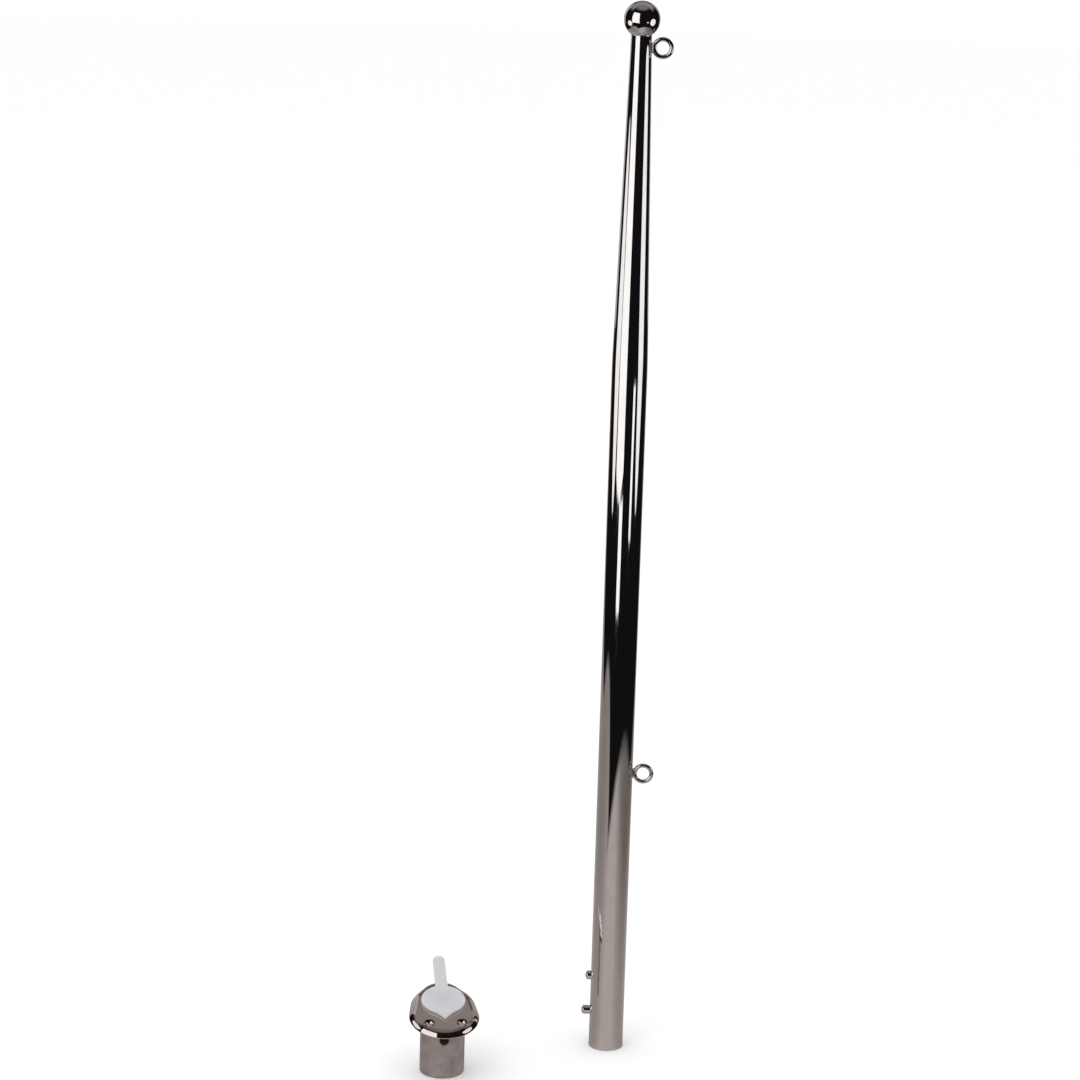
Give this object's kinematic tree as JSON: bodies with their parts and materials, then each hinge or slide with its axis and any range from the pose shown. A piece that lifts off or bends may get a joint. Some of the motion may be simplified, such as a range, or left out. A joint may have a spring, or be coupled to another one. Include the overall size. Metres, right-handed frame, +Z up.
{
  "type": "flagpole",
  "caption": "Short tapered steel flagpole with a ball top, welded halyard eyes and a sprung latch in its foot, beside its tilted deck socket with a strap cap.",
  "frame": {"origin": "centre of the pole's open foot, on the plane both the pole and its socket stand on", "axes": "+Z up the pole, +X towards the side its two eyes are on, the socket's low front edge towards -Y"},
  "size_m": [0.1679, 0.1052, 0.7585],
  "materials": {
    "polished_steel": "mirror polished stainless steel",
    "spring_steel": "bright rolled spring strip",
    "cast_steel": "cast stainless steel, flange polished and tube satin",
    "cap_plastic": "milky soft plastic"
  },
  "bodies": {
    "pole_and_socket": {"pole_tube": "polished_steel", "ball_finial": "polished_steel", "lower_eye": "polished_steel", "upper_eye": "polished_steel", "clip_spring": "spring_steel", "socket": "cast_steel"},
    "latch": {"clip_leg": "spring_steel", "lock_button": "polished_steel", "release_button": "polished_steel"},
    "socket_cap": {"cap": "cap_plastic"}
  },
  "joints": [
    {"name": "latch_press", "type": "hinge", "parent": "pole_and_socket", "child": "latch", "pos_m": [-0.00942, 0, 0.103], "axis": [0, -1, 0], "range_deg": [0, 4.6], "stiffness_Nm_per_rad": 5, "springref_deg": -2.29},
    {"name": "cap_lift", "type": "slide", "parent": "pole_and_socket", "child": "socket_cap", "axis": [0, 0, 1], "range_m": [0, 0.04]}
  ]
}
